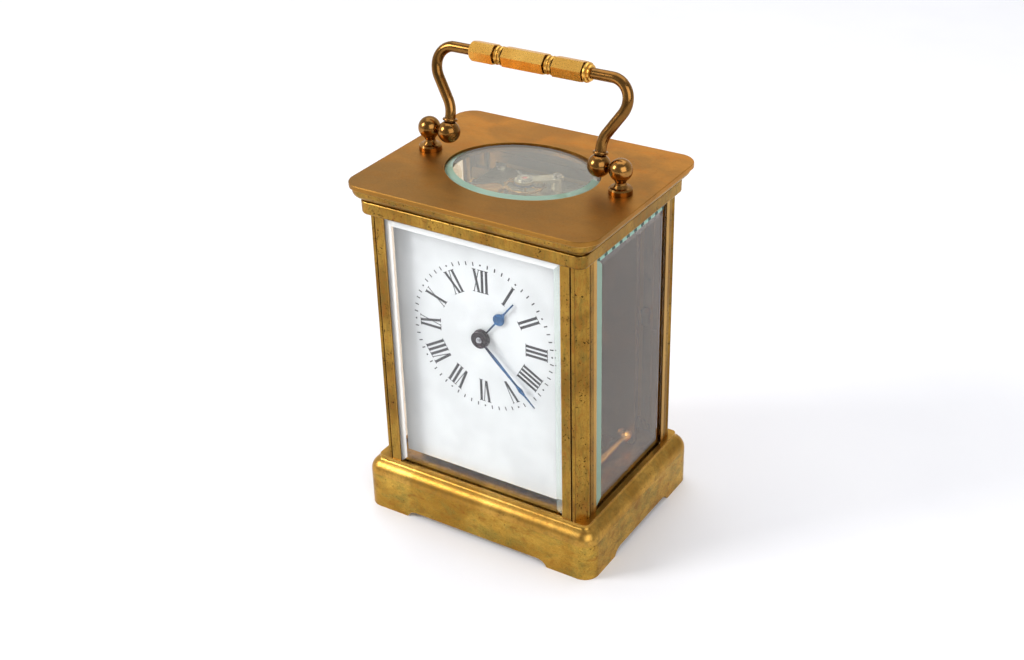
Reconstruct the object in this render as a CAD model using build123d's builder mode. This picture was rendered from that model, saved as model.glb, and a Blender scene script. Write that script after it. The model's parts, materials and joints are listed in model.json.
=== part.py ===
"""Carriage clock: a glazed brass case with a folding handle and a brass rear door, an enamel dial,
blued hands, and a spring-driven movement with a lever platform on top.

Millimetres. +Z is up, the dial faces -Y, and the origin is on the table under the middle of the base.
"""

import os
from math import atan2, cos, degrees, hypot, radians, sin

from build123d import *

# ---------------------------------------------------------------- driving dimensions
# base casting
base_width, base_depth, base_corner = 80.0, 63.0, 4.6
plinth_height, base_top = 11.9, 17.4
base_wall, base_deck = 3.2, 3.2
foot_height = 2.2
front_foot_gap, side_foot_gap = 50.0, 33.6

# upright case between the base and the cornice
case_top = 99.8
post_x, post_y = 35.5, 28.2  # outer faces of the corner posts
opening_x, opening_y = 28.7, 20.3  # edges of the glazed openings
glass_thickness, bevel_depth = 2.2, 0.7
front_bevel, side_bevel = 3.5, 4.4  # widths of the bevels
front_glass_y, side_glass_x = 27.6, 35.3  # outer faces of the glass
glass_foot, glass_head = 15.7, 101.0  # the glass stands in grooves
front_glass_half, side_glass_half, glass_slot = 30.2, 21.8, 2.3  # half widths and depth of the grooves
post_web_x = 31.9  # inner face of a post behind its glass
groove_gap = 0.06

# cornice and top plate
cornice_corner = 1.7
cornice_tier, cornice_top = 104.9, 108.1
cavity_floor, cavity_roof = 102.2, 106.0
top_width, top_depth, top_corner, top_height = 80.0, 64.0, 5.9, 109.5
oval_x, oval_y = 23.3, 18.8  # semi-axes of the opening over the escapement

# folding handle
pivot_height, handle_lean = 116.3, 14.3
post_ball_x, arm_ball_x, ball_radius = 31.35, 24.6, 3.3
arm_radius, grip_height, grip_radius = 1.55, 24.1, 3.15
grip_left, grip_right = -19.2, 19.2

# rear door
door_half, door_low, door_high = 28.4, 17.7, 99.5
door_front, door_back, door_stile = 24.2, 27.9, 5.0
door_rebate, rebate_depth, panel_thickness = 3.4, 2.3, 1.3
hinge_x, hinge_y = -26.5, 26.05
latch_x, latch_z = 26.2, 60.0

# dial and hands
dial_half, dial_low, dial_high, dial_front, dial_thickness = 29.2, 18.9, 100.6, -22.2, 1.0
centre_x, centre_z = 0.0, 66.9
hour_angle, minute_angle = 38.5, 134.0  # clockwise from twelve
hour_length, minute_length = 17.6, 25.0

# movement frame
plate_half, plate_low, plate_high = 27.5, 17.5, 97.4
front_plate_y, back_plate_y, plate_thickness = -17.9, 15.0, 2.1
pillar_x, pillar_low, pillar_high = 24.8, 21.2, 92.6
platform_top = 98.8

# going train: teeth and modules
great_teeth, first_pinion_teeth, great_module = 84, 12, 0.36
first_teeth, centre_pinion_teeth, first_module = 60, 10, 0.34
centre_teeth, third_pinion_teeth, centre_module = 64, 8, 0.34
third_teeth, contrate_pinion_teeth, third_module = 60, 8, 0.32
contrate_teeth, escape_pinion_teeth, contrate_module = 80, 8, 0.20
cannon_teeth, minute_teeth, motion_module = 12, 36, 0.30
minute_pinion_teeth, hour_teeth, hour_module = 10, 40, 0.288
mesh_gap = 0.05
pivot_radius, pipe_pivot, centre_radius, stud_radius = 0.45, 0.8, 0.5, 0.45
pivot_gap = 0.05  # radial clearance of every turning fit

barrel_x, barrel_z = 0.0, 38.6
key_holes = ((barrel_x, barrel_z, 3.4), (centre_x, centre_z, 2.6))
contrate_x, contrate_z = -9.5, 87.0
escape_x, escape_y = -9.5, -1.0
balance_x, balance_y = -2.0, 4.4


def meeting(ax, az, a_distance, bx, bz, b_distance, side):
    """The point at a_distance from A and b_distance from B, on the given side of the line AB."""
    span = hypot(bx - ax, bz - az)
    along = (a_distance**2 - b_distance**2 + span**2) / (2 * span)
    off = side * (a_distance**2 - along**2) ** 0.5
    ux, uz = (bx - ax) / span, (bz - az) / span
    return ax + ux * along - uz * off, az + uz * along + ux * off


def mesh_distance(module, teeth, leaves):
    return module * (teeth + leaves) / 2 + mesh_gap


first_x, first_z = meeting(
    barrel_x, barrel_z, mesh_distance(great_module, great_teeth, first_pinion_teeth),
    centre_x, centre_z, mesh_distance(first_module, first_teeth, centre_pinion_teeth), 1,
)
third_x, third_z = meeting(
    centre_x, centre_z, mesh_distance(centre_module, centre_teeth, third_pinion_teeth),
    contrate_x, contrate_z, mesh_distance(third_module, third_teeth, contrate_pinion_teeth), -1,
)
motion_distance = mesh_distance(motion_module, minute_teeth, cannon_teeth)
minute_x = centre_x + motion_distance * cos(radians(-35))
minute_z = centre_z + motion_distance * sin(radians(-35))

os.makedirs("parts", exist_ok=True)


def save(part, name):
    part.part.label = name
    export_step(part.part, f"parts/{name}.step")


# ---------------------------------------------------------------- shared shapes
def rounded(width, depth, corner, height):
    """A rounded rectangle in plan at a height."""
    with BuildSketch(Plane.XY.offset(height)) as outline:
        RectangleRounded(width, depth, corner)
    return outline.sketch


def block(low, high, mode=Mode.ADD):
    """A box from its low and high corners."""
    size = [b - a for a, b in zip(low, high)]
    with Locations(tuple((a + b) / 2 for a, b in zip(low, high))):
        Box(*size, mode=mode)


AXIS = {"x": (1, 0, 0), "y": (0, 1, 0), "z": (0, 0, 1)}
ACROSS = {"x": (0, 1, 0), "y": (1, 0, 0), "z": (1, 0, 0)}


def turned(at, along, outline, mode=Mode.ADD):
    """Revolves an outline of (radius, station) points about a line through a point along x, y or z."""
    across, axis = Vector(*ACROSS[along]), Vector(*AXIS[along])
    with BuildSketch(Plane(at, x_dir=across, z_dir=across.cross(axis))) as half:
        with BuildLine():
            Polyline(*outline, close=True)
        make_face()
    revolve(half.sketch, axis=Axis(at, AXIS[along]), mode=mode)


def rod(at, along, radius, start, end, mode=Mode.ADD):
    turned(at, along, [(0, start), (radius, start), (radius, end), (0, end)], mode)


def ring(at, along, inner, outer, start, end, mode=Mode.ADD):
    turned(at, along, [(inner, start), (outer, start), (outer, end), (inner, end)], mode)


def facing(x, y, z):
    """A plane that looks at the dial side: sketch x is world X, sketch y is world Z."""
    return Plane((x, y, z), x_dir=(1, 0, 0), z_dir=(0, -1, 0))


def ball(at, radius, mode=Mode.ADD):
    with Locations(at):
        Sphere(radius, mode=mode)


def screw(at, along, head_radius, head, shank_radius, shank, slot=0.5):
    """A cheese-head screw; head and shank are (start, end) stations, the slot is on the free face."""
    rod(at, along, head_radius, *head)
    rod(at, along, shank_radius, *shank)
    free = head[0] if abs(head[0] - shank[0]) > abs(head[1] - shank[0]) else head[1]
    inward = (head[1] - head[0]) * 0.45 * (1 if free == head[0] else -1)
    low, high = sorted((free, free + inward))
    side = ACROSS[along]
    corner = Vector(*at) + Vector(*AXIS[along]) * low
    size = Vector(*AXIS[along]) * (high - low) + Vector(*side) * slot
    third = Vector(*AXIS[along]).cross(Vector(*side))
    size = size + Vector(abs(third.X), abs(third.Y), abs(third.Z)) * head_radius * 2.2
    half = size - Vector(*AXIS[along]) * (high - low)
    start = corner - half * 0.5
    block(tuple(start), tuple(start + size), Mode.SUBTRACT)


def loop_of(width, depth, corner, height):
    return rounded(width, depth, corner, height).face().outer_wire()


def moulding(width, depth, corner, height, outline):
    """Sweeps an outline of (outward, up) points round a rounded rectangle."""
    loop = loop_of(width, depth, corner, height)
    ahead = loop % 0
    outward = ahead.cross(Vector(0, 0, 1))
    with BuildSketch(Plane(loop @ 0, x_dir=outward, z_dir=outward.cross(Vector(0, 0, 1)))) as section:
        with BuildLine():
            outline()
        make_face()
    sweep(section.sketch, path=loop)


# ---------------------------------------------------------------- base
def base_outline():
    """A smooth ovolo and cavetto and a thin standing fillet over the plinth."""
    out, neck = 3.2, 0.15
    rise, foot = base_top - plinth_height, base_top - plinth_height - 0.3
    lean = 2 * atan2(out - neck, foot)  # where the ovolo runs into the cavetto
    round_radius = 0.76 * foot / sin(lean)
    turn = (out - round_radius * (1 - cos(lean)), round_radius * sin(lean))
    Line((-1, 0), (out, 0))
    TangentArc((out, 0), turn, tangent=(0, 1))
    TangentArc(turn, (neck, foot), tangent=(-sin(lean), cos(lean)))
    Polyline((neck, foot), (neck, rise), (-1, rise), (-1, 0))


def foot_gap(plane, width, through):
    """The low bracket-shaped gap between two feet."""
    half, reach = width / 2, 3.4
    with BuildSketch(plane) as gap:
        with BuildLine():
            Polyline((half, -1), (half, 0))
            ThreePointArc((half, 0), (half - 1.0, foot_height * 0.62), (half - reach, foot_height))
            Line((half - reach, foot_height), (reach - half, foot_height))
            ThreePointArc((reach - half, foot_height), (1.0 - half, foot_height * 0.62), (-half, 0))
            Polyline((-half, 0), (-half, -1), (half, -1))
        make_face()
    extrude(gap.sketch, amount=through, both=True, mode=Mode.SUBTRACT)


def glass_grooves(low, high):
    """Cuts the grooves that hold the front and side glasses."""
    front = -front_glass_y
    block(
        (-front_glass_half, front - groove_gap, low), (front_glass_half, front + glass_slot, high),
        Mode.SUBTRACT,
    )
    for sx in (-1, 1):
        inner, outer = sorted((sx * (side_glass_x - glass_slot), sx * (side_glass_x + groove_gap)))
        block((inner, -side_glass_half, low), (outer, side_glass_half, high), Mode.SUBTRACT)


post_screw_x, post_screw_y = 33.0, 25.6
case_screw_spots = [(sx * post_screw_x, sy * post_screw_y) for sx in (-1, 1) for sy in (-1, 1)]
movement_screw_spots = [
    (sx * 15.0, y + plate_thickness / 2) for sx in (-1, 1) for y in (front_plate_y, back_plate_y)
]

with BuildPart() as base:
    extrude(rounded(base_width, base_depth, base_corner, 0), amount=plinth_height)
    moulding(base_width - 6.4, base_depth - 6.4, base_corner - 3.2, plinth_height, base_outline)
    extrude(
        rounded(base_width - 8, base_depth - 8, 1.0, plinth_height),
        amount=base_top - plinth_height,
    )
    extrude(
        rounded(base_width - 2 * base_wall, base_depth - 2 * base_wall, base_corner - base_wall, 0),
        amount=base_top - base_deck,
        mode=Mode.SUBTRACT,
    )
    foot_gap(Plane.XZ, front_foot_gap, base_depth)
    foot_gap(Plane.YZ, side_foot_gap, base_width)
    for x, y in case_screw_spots:
        rod((x, y, 0), "z", 3.2, 9.0, base_top - 1)
    glass_grooves(glass_foot, base_top + 1)
    for x, y in case_screw_spots:
        rod((x, y, 0), "z", 1.05, 8.0, 20, Mode.SUBTRACT)
        rod((x, y, 0), "z", 2.0, 8.0, 12.0, Mode.SUBTRACT)
    for x, y in movement_screw_spots:
        rod((x, y, 0), "z", 0.75, 8.0, 20, Mode.SUBTRACT)
    rod((hinge_x, hinge_y, 0), "z", 0.75 + pivot_gap, 15.2, 20, Mode.SUBTRACT)
save(base, "base")


# ---------------------------------------------------------------- corner posts
post_groove, post_bead = 0.45, 0.2
strip_end, bead_start, bead_end = 31.6, 31.95, 33.0  # across the front face of a post
side_bead = (-25.1, -23.8)  # along its side face


def post_outline(rear):
    """Plan of a right-hand post: two flat strips, each with a groove and a bead, and a flat corner.

    A rear post has no glass groove in its rear strip, where the door shuts.
    """
    front, groove, shoulder = -post_y, -post_y + post_groove, -post_y + 0.2
    Polyline(
        (opening_x, front), (strip_end, front), (strip_end + 0.1, groove), (bead_start, groove),
        (bead_start, shoulder),
    )
    crest = ((bead_start + bead_end) / 2, front - post_bead)
    ThreePointArc((bead_start, shoulder), crest, (bead_end, shoulder))
    side, low, high = post_x - 0.2, *side_bead
    Polyline((bead_end, shoulder), (bead_end, groove), (post_x - post_groove, low), (side, low))
    ThreePointArc((side, low), (post_x + post_bead, (low + high) / 2), (side, high))
    slot_inner, slot_outer = side_glass_x - glass_slot, side_glass_x + groove_gap
    Polyline(
        (side, high), (post_x - post_groove, high), (post_x - post_groove, high + 0.2),
        (post_x, high + 0.35), (post_x, -opening_y), (slot_outer, -opening_y),
        (slot_outer, -side_glass_half), (slot_inner, -side_glass_half), (slot_inner, -opening_y),
        (post_web_x, -opening_y),
    )
    if rear:
        Polyline((post_web_x, -opening_y), (post_web_x, -23.6), (opening_x, -23.6), (opening_x, front))
        return
    slot_front, slot_back = -front_glass_y - groove_gap, -front_glass_y + glass_slot
    Polyline(
        (post_web_x, -opening_y), (post_web_x, -24.3), (opening_x, -24.3), (opening_x, slot_back),
        (front_glass_half, slot_back), (front_glass_half, slot_front), (opening_x, slot_front),
        (opening_x, front),
    )


def corner_post(name, side, end):
    """One post, mirrored into its corner, with a threaded hole at each end."""
    x, y = side * post_screw_x, end * post_screw_y
    plane = Plane(
        (0, 0, base_top + (0 if side == -end else case_top - base_top)),
        x_dir=(side, 0, 0),
        z_dir=(0, 0, -side * end),
    )
    with BuildPart() as post:
        with BuildSketch(plane) as plan:
            with BuildLine():
                post_outline(rear=end == 1)
            make_face()
        extrude(plan.sketch, amount=case_top - base_top)
        rod((x, y, 0), "z", 0.95, base_top - 1, base_top + 9, Mode.SUBTRACT)
        rod((x, y, 0), "z", 0.95, case_top - 9, case_top + 1, Mode.SUBTRACT)
        if (side, end) == (1, 1):
            block(*latch_notch, Mode.SUBTRACT)
    save(post, name)


latch_notch = ((opening_x - 1, door_front - 2.2, latch_z - 5.4), (31.3, door_front + 0.05, latch_z + 1.9))
corner_post("post_front_right", 1, -1)
corner_post("post_front_left", -1, -1)
corner_post("post_rear_right", 1, 1)
corner_post("post_rear_left", -1, 1)


# ---------------------------------------------------------------- glazing
def bevelled(plane, width, height, bevel):
    """A flat glass with a wide bevel round its outer face; the plane is the inner face."""
    with BuildSketch(plane) as back:
        Rectangle(width, height)
    extrude(back.sketch, amount=glass_thickness - bevel_depth)
    with BuildSketch(plane.offset(glass_thickness - bevel_depth)) as edge:
        Rectangle(width, height)
    with BuildSketch(plane.offset(glass_thickness)) as face:
        Rectangle(width - 2 * bevel, height - 2 * bevel)
    loft([edge.sketch.face(), face.sketch.face()])


glass_middle = (glass_foot + 0.05 + glass_head) / 2
glass_tall = glass_head - glass_foot - 0.05
with BuildPart() as front_glass:
    bevelled(facing(0, -front_glass_y + glass_thickness, glass_middle), 60.0, glass_tall, front_bevel)
save(front_glass, "front_glass")
for side, name in ((-1, "left_glass"), (1, "right_glass")):
    inner = Plane(
        (side * (side_glass_x - glass_thickness), 0, glass_middle), x_dir=(0, side, 0), z_dir=(side, 0, 0)
    )
    with BuildPart() as side_glass:
        bevelled(inner, 43.2, glass_tall, side_bevel)
    save(side_glass, name)


# ---------------------------------------------------------------- cornice and top plate
def cornice_outline():
    """A quarter-round lower tier, a deep groove, an ovolo and a narrow gap under the top plate."""
    tier, top = cornice_tier - case_top, cornice_top - case_top
    Line((-1.5, 0), (0.3, 0))
    ThreePointArc((0.3, 0), (0.8, 0.35), (0.98, 1.1))
    Polyline(
        (0.98, 1.1), (1.05, tier - 1.2), (0.95, tier - 1.05), (0.45, tier - 0.95), (0.45, tier - 0.1),
        (1.5, tier + 0.1),
    )
    ThreePointArc((1.5, tier + 0.1), (2.9, tier + 1.0), (3.4, top - 0.8))
    Polyline((3.4, top - 0.8), (3.4, top - 0.35), (2.7, top - 0.3), (2.7, top), (-1.5, top), (-1.5, 0))


def ellipse_slab(across, deep, low, high, mode):
    with BuildSketch(Plane.XY.offset(low)) as oval:
        Ellipse(across, deep)
    extrude(oval.sketch, amount=high - low, mode=mode)


stud_x = post_ball_x
with BuildPart() as cornice:
    extrude(
        rounded(2 * post_x - 0.6, 2 * post_y - 0.6, cornice_corner, case_top), amount=cornice_top - case_top
    )
    moulding(2 * post_x, 2 * post_y, cornice_corner, case_top, cornice_outline)
    block((-31.8, -24.2, case_top - 1), (31.8, 24.2, cavity_floor), Mode.SUBTRACT)
    extrude(rounded(69.0, 54.2, 1.2, cavity_floor), amount=cavity_roof - cavity_floor, mode=Mode.SUBTRACT)
    glass_grooves(case_top - 1, glass_head + 0.05)
    for sx in (-1, 1):
        rod((sx * stud_x, 0, 0), "z", 1.3, cavity_roof - 1, top_height, Mode.SUBTRACT)
    ellipse_slab(oval_x - 1.9, oval_y - 1.9, cavity_roof - 1, cornice_top + 1, Mode.SUBTRACT)
    ellipse_slab(oval_x + 0.1, oval_y + 0.1, cornice_top - 1.0, cornice_top + 1, Mode.SUBTRACT)
    for x, y in case_screw_spots:
        rod((x, y, 0), "z", 1.05, case_top - 1, cavity_floor + 1, Mode.SUBTRACT)
    rod((hinge_x, hinge_y, 0), "z", 0.75 + pivot_gap, case_top - 1, 101.8, Mode.SUBTRACT)
save(cornice, "cornice")

with BuildPart() as top_plate:
    extrude(rounded(top_width, top_depth, top_corner, cornice_top), amount=top_height - cornice_top)
    chamfer(top_plate.edges().group_by(Axis.Z)[-1], length=0.18)
    ellipse_slab(oval_x, oval_y, cornice_top - 1, top_height + 1, Mode.SUBTRACT)
    for sx in (-1, 1):
        rod((sx * stud_x, 0, 0), "z", 1.25, cornice_top - 1, top_height + 1, Mode.SUBTRACT)
save(top_plate, "top_plate")

with BuildPart() as top_glass:
    ellipse_slab(oval_x - 0.15, oval_y - 0.15, cornice_top - 1.0, top_height - 0.7, Mode.ADD)
    with BuildSketch(Plane.XY.offset(top_height - 0.7)) as rim:
        Ellipse(oval_x - 0.15, oval_y - 0.15)
    with BuildSketch(Plane.XY.offset(top_height + 0.25)) as face:
        Ellipse(oval_x - 2.4, oval_y - 2.4)
    loft([rim.sketch.face(), face.sketch.face()])
save(top_glass, "top_glass")

with BuildPart() as case_screws:
    for x, y in case_screw_spots:
        screw((x, y, 0), "z", 1.8, (9.6, 11.98), 0.9, (11.98, base_top + 7.5))
        seat = cavity_floor + 0.02
        screw((x, y, 0), "z", 1.35, (seat, seat + 1.38), 0.9, (case_top - 7.5, seat))
save(case_screws, "case_screws")

with BuildPart() as movement_screws:
    seat = base_top - base_deck - 0.02
    for x, y in movement_screw_spots:
        screw((x, y, 0), "z", 1.7, (12.4, seat), 0.7, (seat, plate_low + 5))
save(movement_screws, "movement_screws")


# ---------------------------------------------------------------- folding handle
def bail_point(across, up, front=0.0):
    """A point of the leaning handle, up from the pivot line and out of its front face."""
    lean = radians(handle_lean)
    return (across, up * sin(lean) - front * cos(lean), pivot_height + up * cos(lean) + front * sin(lean))


lean_up = Vector(0, sin(radians(handle_lean)), cos(radians(handle_lean)))
lean_front = Vector(0, -cos(radians(handle_lean)), sin(radians(handle_lean)))

for side, name in ((-1, "handle_post_left"), (1, "handle_post_right")):
    x = side * post_ball_x
    with BuildPart() as handle_post:
        turned(
            (x, 0, 0), "z",
            [(0, 103.6), (1.15, 103.6), (1.15, top_height), (3.35, top_height), (3.35, 110.9), (3.0, 111.3),
             (2.2, 111.5), (1.6, 112.2), (1.5, 112.8), (1.9, 113.6), (0, 114.5)],
        )
        ball((x, 0, pivot_height), ball_radius)
        rod((0, 0, pivot_height), "x", 0.9, *sorted((side * 26.0, side * 29.5)), Mode.SUBTRACT)
    save(handle_post, name)

with BuildPart() as handle_nuts:
    for side in (-1, 1):
        with BuildSketch(Plane.XY.offset(cavity_roof - 1.62)) as hexagon:
            with Locations((side * stud_x, 0)):
                RegularPolygon(2.3, 6)
        extrude(hexagon.sketch, amount=1.6)
        rod((side * stud_x, 0, 0), "z", 1.16, 103, 107, Mode.SUBTRACT)
save(handle_nuts, "handle_nuts")

with BuildPart() as handle_pivots:
    for side in (-1, 1):
        rod((0, 0, pivot_height), "x", 0.88, *sorted((side * 22.2, side * 29.3)))
save(handle_pivots, "handle_pivots")


def handle_arm(name, side):
    """One S-shaped arm: a ball on the pivot, a small collar, then a tube that ends in the grip."""
    bend = Plane(bail_point(0, 0), x_dir=(side, 0, 0), z_dir=lean_front * side)
    with BuildPart() as arm:
        with BuildLine(bend) as path:
            FilletPolyline(
                (arm_ball_x, 2.6), (arm_ball_x, 7.2), (30.8, 16.6), (30.8, grip_height),
                (18.0, grip_height),
                radius=(7.5, 6.5, 5.4),
            )
        tube_start = Plane(path.wire() @ 0, z_dir=lean_up)
        with BuildSketch(tube_start) as bore:
            Circle(arm_radius)
        sweep(bore.sketch, path=path.wire())
        ball(bail_point(side * arm_ball_x, 0), ball_radius)
        with BuildSketch(Plane(bail_point(side * arm_ball_x, 3.15), z_dir=lean_up)) as collar:
            Circle(2.15)
        extrude(collar.sketch, amount=0.75)
        fillet(arm.edges().filter_by(GeomType.CIRCLE).filter_by(lambda e: abs(e.radius - 2.15) < 1e-3), 0.3)
        rod((0, 0, pivot_height), "x", 0.88 + pivot_gap, *sorted((side * 22.0, side * 29)), Mode.SUBTRACT)
    save(arm, name)


handle_arm("handle_arm_left", -1)
handle_arm("handle_arm_right", 1)

with BuildPart() as handle_grip:
    facet_plane = Plane(bail_point(0, grip_height), x_dir=lean_front, z_dir=(1, 0, 0))
    for start, end in ((-19.0, -11.5), (-8.35, 4.85), (7.8, 17.0)):
        with BuildSketch(facet_plane.offset(start)) as facets:
            RegularPolygon(grip_radius, 6)
        extrude(facets.sketch, amount=end - start)
    grip_axis = bail_point(0, grip_height)
    for beads in (-9.93, 6.33):
        turned(
            grip_axis, "x",
            [(radius, beads + station) for radius, station in (
                (0, -1.6), (2.1, -1.6), (2.1, -1.2), (2.55, -1.0), (2.7, -0.65), (2.55, -0.3), (2.2, 0),
                (2.55, 0.3), (2.7, 0.65), (2.55, 1.0), (2.1, 1.2), (2.1, 1.6), (0, 1.6),
            )],
        )
    turned(
        grip_axis, "x",
        [(0, 17.0), (2.3, 17.0), (2.3, 17.25), (2.75, 17.5), (2.85, 17.9), (2.75, 18.3), (2.3, 18.5),
         (2.35, 18.8), (2.2, 19.1), (1.6, 19.2), (0, 19.2)],
    )
    turned(grip_axis, "x", [(2.75, -19.0), (3.4, -19.0), (3.4, -17.7)], Mode.SUBTRACT)
    turned(grip_axis, "x", [(0, -19.6), (1.9, -19.6), (2.7, -19.0), (0, -19.0)])
    for arm_end in (-1, 1):
        rod(grip_axis, "x", arm_radius + 0.01, *sorted((arm_end * 17.9, arm_end * 20.5)), Mode.SUBTRACT)
save(handle_grip, "handle_grip")


# ---------------------------------------------------------------- rear door
def door_slab(inset, front, back, mode=Mode.ADD):
    """A slab of the door's outline, drawn in by an inset all round."""
    block(
        (inset - door_half, front, door_low + inset), (door_half - inset, back, door_high - inset), mode
    )


door_thickness = door_back - door_front
with BuildPart() as door_frame:
    block((hinge_x, door_front, door_low), (door_half, door_back, door_high))
    rod((hinge_x, hinge_y, 0), "z", door_thickness / 2, door_low, door_high)
    fillet(door_frame.edges().filter_by(Axis.Z).group_by(Axis.X)[-1], 0.5)
    door_slab(door_stile, door_front - 1, door_back + 1, Mode.SUBTRACT)
    door_slab(door_rebate, door_front - 1, door_front + rebate_depth, Mode.SUBTRACT)
    for low, high in ((door_low - 1, door_low + 4), (door_high - 4, door_high + 1)):
        rod((hinge_x, hinge_y, 0), "z", 0.75, low, high, Mode.SUBTRACT)
    rod((latch_x, 0, latch_z), "y", 0.85 + pivot_gap, door_front - 1, door_back + 1, Mode.SUBTRACT)
save(door_frame, "door_frame")

# a plain brass sheet fills the frame, with rimmed holes over the winding square and the setting square
panel_back = door_front + rebate_depth - 0.02
panel_front = panel_back - panel_thickness
with BuildPart() as door_panel:
    door_slab(door_rebate + 0.05, panel_front, panel_back)
    for x, z, radius in key_holes:
        rod((x, 0, z), "y", radius + 1.1, panel_back - 0.1, panel_back + 0.6)
    fillet(door_panel.edges().filter_by(GeomType.CIRCLE).group_by(Axis.Y)[-1], 0.3)
    for x, z, radius in key_holes:
        rod((x, 0, z), "y", radius, panel_front - 1, panel_back + 1, Mode.SUBTRACT)
save(door_panel, "door_panel")

with BuildPart() as door_pins:
    rod((hinge_x, hinge_y, 0), "z", 0.73, 15.4, door_low + 3.9)
    rod((hinge_x, hinge_y, 0), "z", 0.73, door_high - 3.9, 101.6)
save(door_pins, "door_pins")

with BuildPart() as door_knob:
    turned(
        (latch_x, 0, latch_z), "y",
        [(0, door_front - 1.6), (0.6, door_front - 1.6), (0.6, door_front - 0.05),
         (0.85, door_front - 0.05),
         (0.85, door_back + 0.1), (1.9, door_back + 0.1), (1.9, door_back + 0.5), (1.0, door_back + 0.9),
         (1.0, door_back + 1.5), (2.0, door_back + 2.0), (2.3, door_back + 2.7), (1.9, door_back + 3.5),
         (0, door_back + 3.9)],
    )
save(door_knob, "door_knob")

with BuildPart() as door_latch:
    with BuildSketch(facing(latch_x, door_front - 0.1, latch_z)) as tongue:
        Circle(1.5)
        with Locations((0, -2.4)):
            SlotOverall(4.8, 2.4, rotation=90)
        Circle(0.62, mode=Mode.SUBTRACT)
    extrude(tongue.sketch, amount=0.8)
save(door_latch, "door_latch")


# ---------------------------------------------------------------- dial, hands and motion work
dial_back = dial_front + dial_thickness
front_plate_back = front_plate_y + plate_thickness
with BuildPart() as dial:
    with BuildSketch(facing(0, dial_back, (dial_low + dial_high) / 2)) as sheet:
        Rectangle(2 * dial_half, dial_high - dial_low)
        with Locations((centre_x, centre_z - (dial_low + dial_high) / 2)):
            Circle(2.3, mode=Mode.SUBTRACT)
    extrude(sheet.sketch, amount=dial_thickness)
    for x, z in ((-21, 25.5), (21, 25.5), (-21, 92.5), (21, 92.5)):
        rod((x, 0, z), "y", 1.0, dial_back, front_plate_y)
        rod((x, 0, z), "y", 0.6, front_plate_y, front_plate_y + 1.2)
save(dial, "dial")


def clock_plane(y, angle):
    """A plane facing the viewer whose sketch y runs out along a hand at an angle from twelve."""
    turn = radians(angle)
    return Plane((centre_x, y, centre_z), x_dir=(cos(turn), 0, -sin(turn)), z_dir=(0, -1, 0))


hour_boss, minute_boss = (-23.25, -22.6), (-24.55, -23.6)
with BuildPart() as hour_hand:
    with BuildSketch(clock_plane(-22.8, hour_angle)) as blade:
        with BuildLine():
            Polyline((-0.26, 2.2), (-0.26, 7.9))
            ThreePointArc((-0.26, 7.9), (-1.72, 9.3), (-1.35, 10.9))
            Spline((-1.35, 10.9), (-0.62, 11.9), (-0.28, 13.2), tangents=((0.45, 1), (0.05, 1)))
            Polyline((-0.28, 13.2), (-0.2, hour_length), (0.2, hour_length), (0.28, 13.2))
            Spline((0.28, 13.2), (0.62, 11.9), (1.35, 10.9), tangents=((-0.05, -1), (0.45, -1)))
            ThreePointArc((1.35, 10.9), (1.72, 9.3), (0.26, 7.9))
            Polyline((0.26, 7.9), (0.26, 2.2), (-0.26, 2.2))
        make_face()
    extrude(blade.sketch, amount=0.3)
    turned(
        (centre_x, 0, centre_z), "y",
        [(1.5, hour_boss[1]), (2.75, hour_boss[1]), (2.75, hour_boss[0] + 0.2), (2.55, hour_boss[0]),
         (1.5, hour_boss[0])],
    )
save(hour_hand, "hour_hand")

with BuildPart() as minute_hand:
    with BuildSketch(clock_plane(-23.8, minute_angle)) as blade:
        with BuildLine():
            Polyline(
                (-0.28, 2.2), (-0.48, 7.5), (-0.25, 16.6), (-0.74, 18.6), (-0.2, 20.6),
                (-0.12, minute_length), (0.12, minute_length),
                (0.2, 20.6), (0.74, 18.6), (0.25, 16.6), (0.48, 7.5), (0.28, 2.2), close=True,
            )
        make_face()
    extrude(blade.sketch, amount=0.3)
    turned(
        (centre_x, 0, centre_z), "y",
        [(0.92, minute_boss[1]), (2.3, minute_boss[1]), (2.6, minute_boss[1] - 0.3),
         (2.6, minute_boss[0] + 0.15), (2.4, minute_boss[0]), (2.05, minute_boss[0]),
         (1.7, minute_boss[0] + 0.3), (0.92, minute_boss[0] + 0.3)],
    )
save(minute_hand, "minute_hand")


# tooth forms as (addendum, dedendum) in modules and half widths at root, pitch and tip in tooth pitches
WHEEL_TOOTH = (1.0, 1.4, 0.25, 0.22, 0.08)
LEAF_TOOTH = (0.8, 1.5, 0.20, 0.18, 0.08)


def tooth_points(teeth, module, form, first):
    """The outline of a wheel or pinion whose first tooth stands at an angle in degrees."""
    addendum, dedendum, root, pitch, tip = form
    radius, step = module * teeth / 2, 360 / teeth
    low, high = radius - dedendum * module, radius + addendum * module
    points = []
    for tooth in range(teeth):
        middle = first + tooth * step
        for r, half in (
            (low, -root), (radius, -pitch), (high, -tip), (high, tip), (radius, pitch), (low, root),
        ):
            angle = radians(middle + half * step)
            points.append((r * cos(angle), r * sin(angle)))
    return points


def toothed(plane, depth, teeth, module, form, first):
    """A toothed disc, extruded from a plane along its normal."""
    with BuildSketch(plane) as profile:
        with BuildLine():
            Polyline(*tooth_points(teeth, module, form, first), close=True)
        make_face()
    extrude(profile.sketch, amount=depth)


def spokes(plane, depth, hub, rim, count):
    """Cuts the gaps between straight spokes out of a wheel."""
    half = 0.9
    with BuildSketch(plane) as gaps:
        Circle(rim)
        Circle(hub, mode=Mode.SUBTRACT)
        with PolarLocations(0, count):
            with Locations(((hub + rim) / 2, 0)):
                Rectangle(rim - hub + 1, 2 * half, mode=Mode.SUBTRACT)
    extrude(gaps.sketch, amount=depth, mode=Mode.SUBTRACT)


def line_angle(ax, az, bx, bz):
    """The direction from A to B in degrees, from +X towards +Z."""
    return degrees(atan2(bz - az, bx - ax))


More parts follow.
